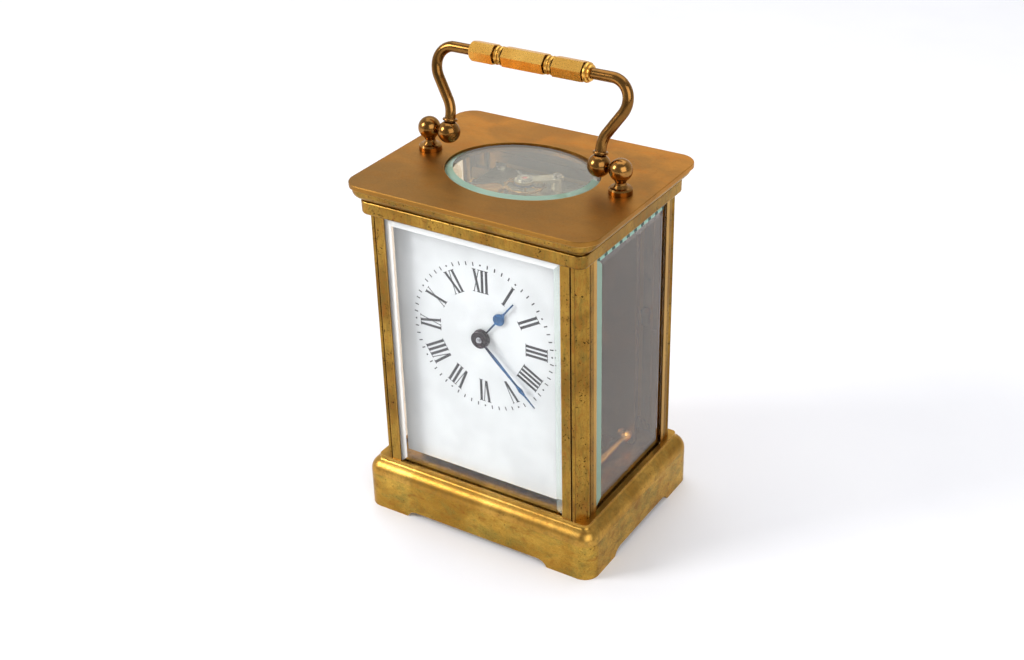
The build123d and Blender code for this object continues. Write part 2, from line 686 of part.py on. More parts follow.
def wheel(x, z, near, far, teeth, module, towards, hub, rim, count):
    """A spoked wheel between two stations on y, with a tooth pointing at its pinion."""
    face = facing(x, far, z)
    toothed(face, far - near, teeth, module, WHEEL_TOOTH, line_angle(x, z, *towards))
    spokes(face, far - near, hub, rim, count)


def bored_wheel(name, x, z, near, far, teeth, module, towards, bore, hub, rim, count):
    """The same wheel as a part of its own, pressed on its arbor."""
    with BuildPart() as disc:
        wheel(x, z, near, far, teeth, module, towards, hub, rim, count)
        rod((x, 0, z), "y", bore, near - 1, far + 1, Mode.SUBTRACT)
    save(disc, name)


def leaf_angle(x, z, wheel_x, wheel_z, leaves):
    """The first leaf's angle that puts a gap towards the wheel's tooth."""
    return line_angle(x, z, wheel_x, wheel_z) + 180 / leaves


def arbor(x, z, pinion, leaves, module, wheel_at, radius):
    """An arbor between the plates with its pinion, which lies between two stations on y."""
    toothed(
        facing(x, pinion[1], z), pinion[1] - pinion[0], leaves, module, LEAF_TOOTH,
        leaf_angle(x, z, *wheel_at, leaves),
    )
    rod((x, 0, z), "y", radius, *shoulders)
    rod((x, 0, z), "y", pivot_radius, *pivots)


centre_at, minute_at = (centre_x, centre_z), (minute_x, minute_z)
barrel_at, first_at = (barrel_x, barrel_z), (first_x, first_z)
third_at, contrate_at = (third_x, third_z), (contrate_x, contrate_z)

# cannon pinion and minute wheel lie against the front plate, the hour wheel rides over them
with BuildPart() as cannon_pinion:
    toothed(
        facing(centre_x, -18.3, centre_z), 1.2, cannon_teeth, motion_module, LEAF_TOOTH,
        leaf_angle(*centre_at, *minute_at, cannon_teeth),
    )
    rod((centre_x, 0, centre_z), "y", 0.92, minute_boss[0] + 0.3, -18.3)
    rod((centre_x, 0, centre_z), "y", centre_radius + 0.01, -30, -10, Mode.SUBTRACT)
save(cannon_pinion, "cannon_pinion")

bored_wheel(
    "minute_wheel", *minute_at, -19.4, -18.6, minute_teeth, motion_module, centre_at, 0.92, 1.7, 3.9, 3
)

with BuildPart() as minute_pinion:
    toothed(
        facing(minute_x, -19.4, minute_z), 1.4, minute_pinion_teeth, hour_module, LEAF_TOOTH,
        leaf_angle(*minute_at, *centre_at, minute_pinion_teeth),
    )
    rod((minute_x, 0, minute_z), "y", 0.9, -19.4, -18.3)
    rod((minute_x, 0, minute_z), "y", stud_radius + pivot_gap, -22, -18, Mode.SUBTRACT)
save(minute_pinion, "minute_pinion")

with BuildPart() as hour_wheel:
    toothed(
        facing(centre_x, -19.75, centre_z), 0.8, hour_teeth, hour_module, WHEEL_TOOTH,
        line_angle(*centre_at, *minute_at),
    )
    spokes(facing(centre_x, -19.75, centre_z), 0.8, 2.4, 4.4, 3)
    rod((centre_x, 0, centre_z), "y", 1.48, hour_boss[0] - 0.1, -19.75)
    rod((centre_x, 0, centre_z), "y", 0.92 + pivot_gap + 0.02, -30, -10, Mode.SUBTRACT)
save(hour_wheel, "hour_wheel")


# ---------------------------------------------------------------- movement plates and pillars
pillar_spots = [(sx * pillar_x, z) for sx in (-1, 1) for z in (pillar_low, pillar_high)]
platform_screw_spots = [
    (x, y + plate_thickness / 2) for x in (-17.5, 13.5) for y in (front_plate_y, back_plate_y)
]
back_plate_back = back_plate_y + plate_thickness


def plate_sheet(near, bores):
    """One movement plate with its pivot holes; bores are (x, z, radius)."""
    middle = (plate_low + plate_high) / 2
    with BuildSketch(facing(0, near + plate_thickness, middle)) as sheet:
        RectangleRounded(2 * plate_half, plate_high - plate_low, 1.2)
        for x, z in pillar_spots:
            with Locations((x, z - middle)):
                Circle(0.95, mode=Mode.SUBTRACT)
        for x, z, radius in bores:
            with Locations((x, z - middle)):
                Circle(radius, mode=Mode.SUBTRACT)
    extrude(sheet.sketch, amount=plate_thickness)


def tapped(spots, low, high):
    """Threaded holes in a plate's top or bottom edge."""
    for x, y in spots:
        rod((x, y, 0), "z", 0.75, low, high, Mode.SUBTRACT)


train_pivots = [(*at, pivot_radius + pivot_gap) for at in (first_at, third_at, contrate_at)]
dial_holes = [(x, z, 0.65) for x in (-21, 21) for z in (25.5, 92.5)]
with BuildPart() as front_plate:
    plate_sheet(
        front_plate_y,
        train_pivots + dial_holes + [(*centre_at, pipe_pivot + pivot_gap), (*barrel_at, 1.2 + pivot_gap)],
    )
    rod((minute_x, 0, minute_z), "y", stud_radius, -21.0, front_plate_y + 0.5)
    tapped(movement_screw_spots[::2], plate_low - 1, plate_low + 5.2)
    tapped(platform_screw_spots[::2], plate_high - 3, plate_high + 1)
save(front_plate, "front_plate")

with BuildPart() as back_plate:
    plate_sheet(
        back_plate_y,
        train_pivots + [(*centre_at, pipe_pivot + pivot_gap), (*barrel_at, 1.7 + pivot_gap)],
    )
    tapped(movement_screw_spots[1::2], plate_low - 1, plate_low + 5.2)
    tapped(platform_screw_spots[1::2], plate_high - 3, plate_high + 1)
save(back_plate, "back_plate")


plate_span = back_plate_y - front_plate_back
pillar_outline = [
    (0, 0), (2.3, 0), (2.3, 1.6), (1.8, 2.0), (2.2, 2.6), (1.8, 3.2), (1.45, 4.2), (1.75, plate_span / 2),
]
pillar_outline += [(r, plate_span - s) for r, s in reversed(pillar_outline[:-1])]
with BuildPart() as pillars:
    for x, z in pillar_spots:
        turned((x, front_plate_back, z), "y", pillar_outline)
        rod((x, 0, z), "y", 0.8, front_plate_back - 1, front_plate_back + 4, Mode.SUBTRACT)
        rod((x, 0, z), "y", 0.8, back_plate_y - 4, back_plate_y + 1, Mode.SUBTRACT)
save(pillars, "pillars")

click_x, click_z = 9.6, 47.4
ratchet_near, ratchet_far, ratchet_radius, ratchet_teeth = 17.3, 18.5, 5.4, 24
with BuildPart() as plate_screws:
    front_seat, back_seat = front_plate_y - 0.02, back_plate_back + 0.02
    for x, z in pillar_spots:
        front_shank, back_shank = (front_seat, front_plate_back + 3), (back_plate_y - 3, back_seat)
        screw((x, 0, z), "y", 1.9, (front_seat - 1.08, front_seat), 0.75, front_shank)
        screw((x, 0, z), "y", 1.9, (back_seat, back_seat + 1.08), 0.75, back_shank)
    screw(
        (click_x, 0, click_z), "y", 1.7, (ratchet_far + 0.1, ratchet_far + 1.0),
        0.9, (back_plate_back + 0.01, ratchet_far + 0.1),
    )
save(plate_screws, "plate_screws")


# ---------------------------------------------------------------- mainspring barrel and winding work
great_near, great_far, drum_end, drum_radius = -13.6, -12.0, 9.0, 13.2
barrel_centre = (barrel_x, 0, barrel_z)
with BuildPart() as barrel:
    toothed(
        facing(barrel_x, great_far, barrel_z), great_far - great_near, great_teeth, great_module,
        WHEEL_TOOTH, line_angle(*barrel_at, *first_at),
    )
    rod(barrel_centre, "y", drum_radius, great_far, drum_end)
    rod(barrel_centre, "y", drum_radius - 1.0, great_near + 1.8, drum_end - 1.2, Mode.SUBTRACT)
    rod(barrel_centre, "y", drum_radius - 0.7, drum_end - 1.2, drum_end + 1, Mode.SUBTRACT)
    rod(barrel_centre, "y", 1.6 + pivot_gap, -20, 20, Mode.SUBTRACT)
save(barrel, "barrel")

with BuildPart() as barrel_cover:
    ring(barrel_centre, "y", 1.6 + pivot_gap, drum_radius - 0.72, drum_end - 1.18, drum_end)
    with BuildSketch(facing(barrel_x, drum_end, barrel_z)) as pry_slot:
        with Locations((0, drum_radius - 1.2)):
            Rectangle(2.4, 1.2)
    extrude(pry_slot.sketch, amount=1.3, mode=Mode.SUBTRACT)
save(barrel_cover, "barrel_cover")


def spiral(plane, inner, pitch, turns, thickness, depth):
    """A flat spiral ribbon made of half-circle arcs that grow by half a pitch each."""
    with BuildSketch(plane) as ribbon:
        with BuildLine():
            points = []
            for edge, offset in ((1, 0.0), (-1, thickness)):
                radius, side, run = inner + offset, 1, []
                for _ in range(int(turns * 2)):
                    following = radius + pitch / 2
                    middle = (side * (radius - following) / 2, side * (radius + following) / 2)
                    run.append(((side * radius, 0), middle, (-side * following, 0)))
                    radius, side = following, -side
                points.append(run)
            for begin, middle, end in points[0] + points[1]:
                ThreePointArc(begin, middle, end)
            Line(points[0][0][0], points[1][0][0])
            Line(points[0][-1][2], points[1][-1][2])
        make_face()
    extrude(ribbon.sketch, amount=depth)


with BuildPart() as mainspring:
    spring_near, spring_far = great_near + 2.3, drum_end - 1.7
    spiral(facing(barrel_x, spring_far, barrel_z), 3.0, 0.95, 9, 0.4, spring_far - spring_near)
save(mainspring, "mainspring")

winding_square = 2.6
with BuildPart() as barrel_arbor:
    rod(barrel_centre, "y", 1.2, front_plate_y + 0.3, great_near - 0.3)
    rod(barrel_centre, "y", 1.6, great_near - 0.3, drum_end + 0.2)
    rod(barrel_centre, "y", 2.7, great_near + 2.2, drum_end - 1.6)
    rod(barrel_centre, "y", 1.7, drum_end + 0.2, ratchet_far + 0.3)
    with BuildSketch(facing(barrel_x, 23.2, barrel_z)) as square:
        Rectangle(winding_square, winding_square)
    extrude(square.sketch, amount=23.2 - ratchet_far)
    with BuildSketch(facing(barrel_x, 23.2, barrel_z)) as corners:
        Circle(3)
        Circle(1.68, mode=Mode.SUBTRACT)
    extrude(corners.sketch, amount=23.2 - ratchet_far - 0.4, mode=Mode.SUBTRACT)
save(barrel_arbor, "barrel_arbor")


def ratchet_points():
    """Saw teeth that let the wheel turn one way only."""
    points, step = [], 360 / ratchet_teeth
    for tooth in range(ratchet_teeth):
        base_angle = radians(tooth * step)
        peak_angle = radians(tooth * step + step * 0.9)
        points.append((4.6 * cos(base_angle), 4.6 * sin(base_angle)))
        points.append((ratchet_radius * cos(peak_angle), ratchet_radius * sin(peak_angle)))
    return points


with BuildPart() as ratchet_wheel:
    with BuildSketch(facing(barrel_x, ratchet_far, barrel_z)) as saw:
        with BuildLine():
            Polyline(*ratchet_points(), close=True)
        make_face()
        Circle(1.72, mode=Mode.SUBTRACT)
    extrude(saw.sketch, amount=ratchet_far - ratchet_near)
save(ratchet_wheel, "ratchet_wheel")

with BuildPart() as click:
    toe = Vector(barrel_x - click_x, barrel_z - click_z).normalized()
    reach = hypot(barrel_x - click_x, barrel_z - click_z) - ratchet_radius - 0.25
    side_step = Vector(-toe.Y, toe.X)
    with BuildSketch(facing(click_x, ratchet_far, click_z)) as pawl:
        Circle(1.9)
        with BuildLine():
            Polyline(
                tuple(side_step * 1.6)[:2], tuple(toe * reach + side_step * 0.7)[:2],
                tuple(toe * (reach + 0.05) + side_step * 0.1)[:2], tuple(side_step * -1.7)[:2], close=True,
            )
        make_face()
        Circle(0.9 + pivot_gap, mode=Mode.SUBTRACT)
    extrude(pawl.sketch, amount=ratchet_far - ratchet_near - 0.1)
save(click, "click")

with BuildPart() as click_spring:
    with BuildSketch(facing(0, ratchet_far - 0.1, 0)) as blade:
        with BuildLine():
            Polyline(
                (click_x + 2.2, click_z + 2.2), (click_x + 4.6, click_z - 2),
                (click_x + 4.2, click_z - 9.5), (click_x + 6.6, click_z - 9.5),
                (click_x + 6.2, click_z - 1), (click_x + 2.6, click_z + 2.5),
                close=True,
            )
        make_face()
        with Locations((click_x + 5.4, click_z - 8.2)):
            Circle(2.0)
            Circle(0.8, mode=Mode.SUBTRACT)
    extrude(blade.sketch, amount=0.9)
save(click_spring, "click_spring")


# ---------------------------------------------------------------- going train
pivots = (front_plate_y + 0.3, back_plate_back - 0.3)
shoulders = (front_plate_back + 0.25, back_plate_y - 0.25)

bored_wheel(
    "first_wheel", *first_at, 10.6, 11.8, first_teeth, first_module, centre_at, 0.72, 2.3, 8.4, 4
)
with BuildPart() as first_arbor:
    arbor(*first_at, (-14.0, -11.6), first_pinion_teeth, great_module, barrel_at, 0.7)
save(first_arbor, "first_arbor")

bored_wheel(
    "centre_wheel", *centre_at, -9.6, -8.4, centre_teeth, centre_module, third_at, 0.97, 2.4, 9.1, 4
)
with BuildPart() as centre_pipe:
    toothed(
        facing(centre_x, 12.3, centre_z), 2.2, centre_pinion_teeth, first_module, LEAF_TOOTH,
        leaf_angle(*centre_at, *first_at, centre_pinion_teeth),
    )
    rod((centre_x, 0, centre_z), "y", 0.95, *shoulders)
    rod((centre_x, 0, centre_z), "y", pipe_pivot, *pivots)
    rod((centre_x, 0, centre_z), "y", centre_radius + pivot_gap, -20, 20, Mode.SUBTRACT)
save(centre_pipe, "centre_pipe")

# the arbor that carries the hands runs right through the pipe to a setting square behind the back plate
setting_square, setting_end = 1.3, 22.6
with BuildPart() as centre_arbor:
    rod((centre_x, 0, centre_z), "y", centre_radius, -24.95, 18.0)
    rod((centre_x, 0, centre_z), "y", 1.3, back_plate_back + 0.1, 18.4)
    with BuildSketch(facing(centre_x, setting_end, centre_z)) as square:
        Rectangle(setting_square, setting_square)
    extrude(square.sketch, amount=setting_end - 18.4)
save(centre_arbor, "centre_arbor")

with BuildPart() as third_wheel:
    wheel(*third_at, 5.4, 6.4, third_teeth, third_module, contrate_at, 2.1, 7.9, 4)
    arbor(*third_at, (-10.1, -7.9), third_pinion_teeth, centre_module, centre_at, 0.6)
save(third_wheel, "third_wheel")

crown_radius = contrate_module * contrate_teeth / 2
crown_tip, crown_root, crown_web, crown_back = -0.36, 0.2, 1.2, 1.9
with BuildPart() as contrate_wheel:
    rod((contrate_x, 0, contrate_z), "y", crown_radius + 0.1, crown_root, crown_back)
    rod((contrate_x, 0, contrate_z), "y", crown_radius - 0.6, crown_root - 1, crown_web, Mode.SUBTRACT)
    spokes(facing(contrate_x, crown_back, contrate_z), crown_back - crown_web, 2.0, crown_radius - 1.3, 4)
    with BuildSketch(Plane((contrate_x, 0, contrate_z + crown_radius - 0.5))) as crown:
        with BuildLine():
            Polyline(
                (-0.15, crown_root + 0.05), (-0.05, crown_tip),
                (0.05, crown_tip), (0.15, crown_root + 0.05),
                close=True,
            )
        make_face()
    tooth = extrude(crown.sketch, amount=0.52, mode=Mode.PRIVATE)
    turn = Axis((contrate_x, 0, contrate_z), (0, 1, 0))
    add([tooth.rotate(turn, step * 360 / contrate_teeth) for step in range(contrate_teeth)])
    arbor(*contrate_at, (4.9, 6.9), contrate_pinion_teeth, third_module, third_at, 0.6)
save(contrate_wheel, "contrate_wheel")


# ---------------------------------------------------------------- lever platform
platform_low = plate_high + 0.02
lever_axis = Vector(balance_x - escape_x, balance_y - escape_y).normalized()
lever_out = Vector(-lever_axis.Y, lever_axis.X)
escape_radius, escape_teeth = 3.4, 15
lever_distance = escape_radius / cos(radians(30))
lever_x = escape_x + lever_axis.X * lever_distance
lever_y = escape_y + lever_axis.Y * lever_distance
lever_heading = degrees(atan2(lever_axis.Y, lever_axis.X))

cock_foot = (5.4, 10.0)
escape_cock_foot = (escape_x - 6.2, escape_y - 2.6)
with BuildPart() as platform:
    with BuildSketch(Plane.XY.offset(platform_low)) as sheet:
        with Locations((-2.0, (front_plate_y + back_plate_back) / 2)):
            RectangleRounded(35.0, back_plate_back - front_plate_y, 1.0)
        for x, y in platform_screw_spots:
            with Locations((x, y)):
                Circle(0.8, mode=Mode.SUBTRACT)
        with Locations((escape_x, escape_y)):
            Circle(1.4, mode=Mode.SUBTRACT)
        for x, y in ((lever_x, lever_y), (balance_x, balance_y)):
            with Locations((x, y)):
                Circle(0.3, mode=Mode.SUBTRACT)
        for x, y in (cock_foot, escape_cock_foot):
            with Locations((x, y)):
                Circle(0.65, mode=Mode.SUBTRACT)
    extrude(sheet.sketch, amount=platform_top - platform_low)
    chamfer(platform.edges().group_by(Axis.Z)[-1].filter_by(GeomType.LINE), length=0.2)
    rod((escape_x, escape_y - 4.0, 0), "z", 1.0, 91.9, platform_low + 0.01)
    block((escape_x - 0.9, escape_y - 4.0, 91.9), (escape_x + 0.9, escape_y + 0.35, 92.9))
    rod((escape_x, escape_y, 0), "z", 0.3, 92.2, 95, Mode.SUBTRACT)
save(platform, "platform")

cock_low, cock_high = 102.2, 103.0
escape_cock_low, escape_cock_high = 100.35, 101.1
with BuildPart() as platform_screws:
    for x, y in platform_screw_spots:
        seat = platform_top + 0.02
        screw((x, y, 0), "z", 1.6, (seat, seat + 0.88), 0.7, (plate_high - 2.8, seat), 0.35)
    seat, tapped_from = cock_high + 0.02, platform_top - 1.0
    screw((*cock_foot, 0), "z", 1.3, (seat, seat + 0.78), 0.6, (tapped_from, seat), 0.3)
    seat = escape_cock_high + 0.02
    screw((*escape_cock_foot, 0), "z", 1.1, (seat, seat + 0.68), 0.5, (tapped_from, seat), 0.3)
save(platform_screws, "platform_screws")


def tie(plane, ends, width):
    """A straight arm with round ends between two points."""
    (ax, ay), (bx, by) = ends
    with BuildSketch(plane) as arm:
        with Locations(((ax + bx) / 2, (ay + by) / 2)):
            SlotCenterToCenter(hypot(bx - ax, by - ay), width, rotation=degrees(atan2(by - ay, bx - ax)))
    return arm.sketch


with BuildPart() as escape_cock:
    under, thick = Plane.XY.offset(escape_cock_low), escape_cock_high - escape_cock_low
    extrude(tie(under, (escape_cock_foot, (escape_x, escape_y)), 3.0), amount=thick)
    rod((escape_x, escape_y, 0), "z", 2.7, escape_cock_low, escape_cock_high)
    extrude(tie(under, ((escape_x, escape_y), (lever_x, lever_y)), 1.7), amount=0.4)
    rod((*escape_cock_foot, 0), "z", 1.5, platform_top + 0.01, escape_cock_high)
    rod((*escape_cock_foot, 0), "z", 0.55, 98, 102, Mode.SUBTRACT)
    for x, y in ((escape_x, escape_y), (lever_x, lever_y)):
        rod((x, y, 0), "z", 0.3, 98, 102, Mode.SUBTRACT)
save(escape_cock, "escape_cock")

with BuildPart() as balance_cock:
    under = Plane.XY.offset(cock_low)
    extrude(tie(under, (cock_foot, (balance_x, balance_y)), 3.8), amount=cock_high - cock_low)
    rod((balance_x, balance_y, 0), "z", 3.0, cock_low, cock_high)
    rod((*cock_foot, 0), "z", 1.9, platform_top + 0.01, cock_low + 0.1)
    rod((*cock_foot, 0), "z", 0.65, 98, 104, Mode.SUBTRACT)
    ring((balance_x, balance_y, 0), "z", 0.8, 1.5, cock_high - 0.1, cock_high + 0.45)
    rod((balance_x, balance_y, 0), "z", 0.8, cock_low - 1, cock_high + 1, Mode.SUBTRACT)
    rod((balance_x + 3.4, balance_y + 0.6, 0), "z", 0.36, 101.6, cock_low + 0.1)
save(balance_cock, "balance_cock")

with BuildPart() as regulator_index:
    ring((balance_x, balance_y, 0), "z", 1.5 + pivot_gap, 2.3, cock_high + 0.03, cock_high + 0.35)
    pointer = [(balance_x - 1.6, balance_y + 1.2), (balance_x - 4.6, balance_y + 3.4)]
    extrude(tie(Plane.XY.offset(cock_high + 0.03), pointer, 0.6), amount=0.32)
    rod((balance_x, balance_y, 0), "z", 1.5 + pivot_gap, 103, 104, Mode.SUBTRACT)
save(regulator_index, "regulator_index")

with BuildPart() as jewels:
    for at, low, high in (
        ((balance_x, balance_y), cock_high - 0.45, cock_high + 0.35),
        ((escape_x, escape_y), escape_cock_high - 0.35, escape_cock_high - 0.02),
        ((lever_x, lever_y), escape_cock_low + 0.2, escape_cock_low + 0.38),
    ):
        wide = 0.78 if at == (balance_x, balance_y) else 0.28
        rod((*at, 0), "z", wide, low, high)
save(jewels, "jewels")


def escape_points():
    """Pointed teeth that lean forward, a quarter of a pitch away from each pallet."""
    points, step = [], 360 / escape_teeth
    for tooth in range(escape_teeth):
        tip = lever_heading + 30 + step / 4 + tooth * step
        for r, offset in (
            (2.35, -12.5), (2.35, -9.5), (escape_radius, -1.2), (escape_radius, 1.2), (2.45, -4.0),
        ):
            angle = radians(tip + offset)
            points.append((r * cos(angle), r * sin(angle)))
    return points


with BuildPart() as escape_wheel:
    flat = Plane((escape_x, escape_y, 99.45))
    with BuildSketch(flat) as star:
        with BuildLine():
            Polyline(*escape_points(), close=True)
        make_face()
    extrude(star.sketch, amount=0.35)
    with BuildSketch(flat) as gaps:
        Circle(1.9)
        Circle(0.95, mode=Mode.SUBTRACT)
        with PolarLocations(0, 4):
            with Locations((1.4, 0)):
                Rectangle(1.4, 0.5, mode=Mode.SUBTRACT)
    extrude(gaps.sketch, amount=0.35, mode=Mode.SUBTRACT)
    crown_gap = 90 + 180 / escape_pinion_teeth
    leaves = Plane((escape_x, escape_y, 93.7))
    toothed(leaves, 2.2, escape_pinion_teeth, contrate_module, LEAF_TOOTH, crown_gap)
    rod((escape_x, escape_y, 0), "z", 0.4, 93.0, 100.25)
    rod((escape_x, escape_y, 0), "z", 0.22, 92.3, 100.7)
save(escape_wheel, "escape_wheel")

with BuildPart() as pallet_lever:
    flat = Plane((lever_x, lever_y, 99.9), x_dir=tuple(lever_axis), z_dir=(0, 0, 1))
    pallet_reach = escape_radius * sin(radians(30)) / cos(radians(30))
    with BuildSketch(flat) as arms:
        Circle(0.75)
        with BuildLine():
            Polyline(
                (0, 0.4), (3.6, 0.25), (3.95, 0.95), (4.75, 1.05), (4.75, 0.6), (4.25, 0.32), (4.25, -0.32),
                (4.75, -0.6), (4.75, -1.05), (3.95, -0.95), (3.6, -0.25), (0, -0.4), close=True,
            )
        make_face()
        for side in (-1, 1):
            with BuildLine():
                Polyline(
                    (0.1, side * 0.5), (-0.75, side * 1.6), (-1.3, side * 2.35), (-0.7, side * 2.5),
                    (-0.15, side * 1.8), (0.6, side * 0.4), close=True,
                )
            make_face()
    extrude(arms.sketch, amount=0.3)
    for side in (-1, 1):
        with BuildSketch(flat.offset(-0.5)) as stone:
            with Locations((-0.72, side * 1.93)):
                Rectangle(0.3, 0.62, rotation=side * 30)
        extrude(stone.sketch, amount=0.6)
    rod((lever_x, lever_y, 0), "z", 0.22, platform_top - 0.6, 100.52)
    rod((lever_x, lever_y, 0), "z", 0.35, platform_top + 0.1, 99.95)
save(pallet_lever, "pallet_lever")

with BuildPart() as balance_wheel:
    centre = (balance_x, balance_y, 0)
    ring(centre, "z", 5.2, 5.9, 100.85, 101.35)
    rim_ends = ((balance_x - 5.4, balance_y), (balance_x + 5.4, balance_y))
    extrude(tie(Plane.XY.offset(100.95), rim_ends, 0.9), amount=0.3)
    rod(centre, "z", 1.0, 100.85, 101.25)
    for step in range(12):
        angle = radians(15 + step * 30)
        pin = Plane(
            (balance_x + 5.8 * cos(angle), balance_y + 5.8 * sin(angle), 101.1),
            x_dir=(0, 0, 1), z_dir=(cos(angle), sin(angle), 0),
        )
        with BuildSketch(pin) as stud:
            Circle(0.24)
        extrude(stud.sketch, amount=0.55)
    rod(centre, "z", 0.35, 99.2, 101.63)
    rod(centre, "z", 0.2, platform_top - 0.6, 102.5)
    rod(centre, "z", 0.9, 100.36, 100.62)
    rod((balance_x - lever_axis.X * 0.62, balance_y - lever_axis.Y * 0.62, 0), "z", 0.17, 100.26, 100.4)
    rod(centre, "z", 0.6, 101.62, 102.0)
save(balance_wheel, "balance_wheel")

with BuildPart() as hairspring:
    spiral(Plane((balance_x, balance_y, 101.7)), 0.72, 0.42, 6, 0.08, 0.22)
save(hairspring, "hairspring")
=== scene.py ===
"""Looks of the carriage clock: aged brass, bevelled glass, an enamel dial with numerals, blued hands.

Lengths in the part's frame are metres; the named sizes below are millimetres, turned into metres by MM.
"""

import json
import math

import bmesh
import bpy
from mathutils import Matrix, Vector


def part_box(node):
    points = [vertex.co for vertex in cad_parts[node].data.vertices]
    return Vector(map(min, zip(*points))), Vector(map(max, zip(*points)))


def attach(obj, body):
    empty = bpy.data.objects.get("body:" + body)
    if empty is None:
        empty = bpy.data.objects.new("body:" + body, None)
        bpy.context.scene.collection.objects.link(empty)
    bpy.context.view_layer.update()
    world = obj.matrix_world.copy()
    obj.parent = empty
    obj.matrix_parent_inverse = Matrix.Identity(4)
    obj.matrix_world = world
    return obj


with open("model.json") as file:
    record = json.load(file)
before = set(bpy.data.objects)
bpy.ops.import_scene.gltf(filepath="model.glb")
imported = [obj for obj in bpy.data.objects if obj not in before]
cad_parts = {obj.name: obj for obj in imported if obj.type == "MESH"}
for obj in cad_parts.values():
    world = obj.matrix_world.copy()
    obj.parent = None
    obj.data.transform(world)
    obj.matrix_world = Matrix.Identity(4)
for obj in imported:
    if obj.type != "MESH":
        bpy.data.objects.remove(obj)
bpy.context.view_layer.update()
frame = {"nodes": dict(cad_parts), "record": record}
MM = 0.001
scene = bpy.context.scene
JOINTS = {joint["name"]: joint for joint in frame["record"]["behaviour"]["joints"]}


# ---------------------------------------------------------------- node helpers
class Shader:
    """Short forms for building one material's nodes on the object's own coordinates."""

    def __init__(self, name):
        self.material = bpy.data.materials.new(name)
        self.material.use_nodes = True
        self.tree = self.material.node_tree
        self.surface = self.tree.nodes["Principled BSDF"]
        self.output = self.tree.nodes["Material Output"]
        self.place = self.add("ShaderNodeTexCoord").outputs["Object"]

    def add(self, kind, **settings):
        """A new node with its settings made."""
        node = self.tree.nodes.new(kind)
        for key, value in settings.items():
            setattr(node, key, value)
        return node

    def feed(self, socket, value):
        """Sets a socket, or links it when the value is another node's output."""
        if isinstance(value, bpy.types.NodeSocket):
            self.tree.links.new(value, socket)
        elif isinstance(value, tuple) and len(value) == 3 and socket.type == "RGBA":
            socket.default_value = (*value, 1.0)
        else:
            socket.default_value = value

    def axis(self, name):
        """How far a point is along one axis of the part's frame."""
        node = self.add("ShaderNodeSeparateXYZ")
        self.feed(node.inputs["Vector"], self.place)
        return node.outputs[name]

    def stretched(self, x, y, z):
        """The object's coordinates scaled along each axis, for grain that runs one way."""
        node = self.add("ShaderNodeMapping")
        self.feed(node.inputs["Vector"], self.place)
        node.inputs["Scale"].default_value = (x, y, z)
        return node.outputs["Vector"]

    def noise(self, size, detail=3.0, rough=0.55, place=None, warp=0.0):
        """Noise whose lumps are about size millimetres across."""
        node = self.add("ShaderNodeTexNoise")
        self.feed(node.inputs["Vector"], place or self.place)
        node.inputs["Scale"].default_value = 1 / (size * MM)
        node.inputs["Detail"].default_value = detail
        node.inputs["Roughness"].default_value = rough
        node.inputs["Distortion"].default_value = warp
        return node.outputs["Fac"]

    def spread(self, value, low, high, out_low=0.0, out_high=1.0):
        """Maps a value from low..high to out_low..out_high, smoothly and clamped."""
        node = self.add("ShaderNodeMapRange", interpolation_type="SMOOTHSTEP")
        self.feed(node.inputs["Value"], value)
        limits = {"From Min": low, "From Max": high, "To Min": out_low, "To Max": out_high}
        for name, number in limits.items():
            node.inputs[name].default_value = number
        return node.outputs["Result"]

    def math(self, operation, a, b=0.0):
        node = self.add("ShaderNodeMath", operation=operation)
        self.feed(node.inputs[0], a)
        self.feed(node.inputs[1], b)
        return node.outputs["Value"]

    def mix(self, amount, a, b):
        """Colour a where the amount is 0 and colour b where it is 1."""
        node = self.add("ShaderNodeMix", data_type="RGBA")
        self.feed(node.inputs["Factor"], amount)
        self.feed(node.inputs["A"], a)
        self.feed(node.inputs["B"], b)
        return node.outputs["Result"]

    def crevices(self, distance, inside=False):
        """1 in the open and 0 deep in a groove; inside, 1 on the flat and less along an outer edge."""
        node = self.add("ShaderNodeAmbientOcclusion", samples=6, inside=inside)
        node.inputs["Distance"].default_value = distance * MM
        return node.outputs["AO"]

    def bump(self, height, depth):
        """Dents the surface by depth millimetres for each unit of height."""
        node = self.add("ShaderNodeBump")
        self.feed(node.inputs["Height"], height)
        node.inputs["Strength"].default_value = 1.0
        node.inputs["Distance"].default_value = depth * MM
        self.feed(self.surface.inputs["Normal"], node.outputs["Normal"])

    def finish(self, **sockets):
        """Feeds the surface's sockets, named with _ for a space, and gives the material."""
        for name, value in sockets.items():
            self.feed(self.surface.inputs[name.replace("_", " ")], value)
        return self.material


def srgb(red, green, blue):
    """A linear colour from 0..255 screen values."""
    def linear(level):
        share = level / 255
        return share / 12.92 if share <= 0.04045 else ((share + 0.055) / 1.055) ** 2.4
    return (linear(red), linear(green), linear(blue))


# ---------------------------------------------------------------- materials
DARK = srgb(44, 27, 10)  # pits, and grime with painted shade in the grooves
WORN = srgb(226, 178, 104)  # rubbed edges
EDGE_TINT = (0.97, 0.88, 0.76)  # brass seen at a grazing angle
CASE_FRONT, CASE_BACK = -32.0, 30.0
GLASS_IOR = 1.42
GLASS_SHADE = (0.93, 0.95, 0.94, 1.0)


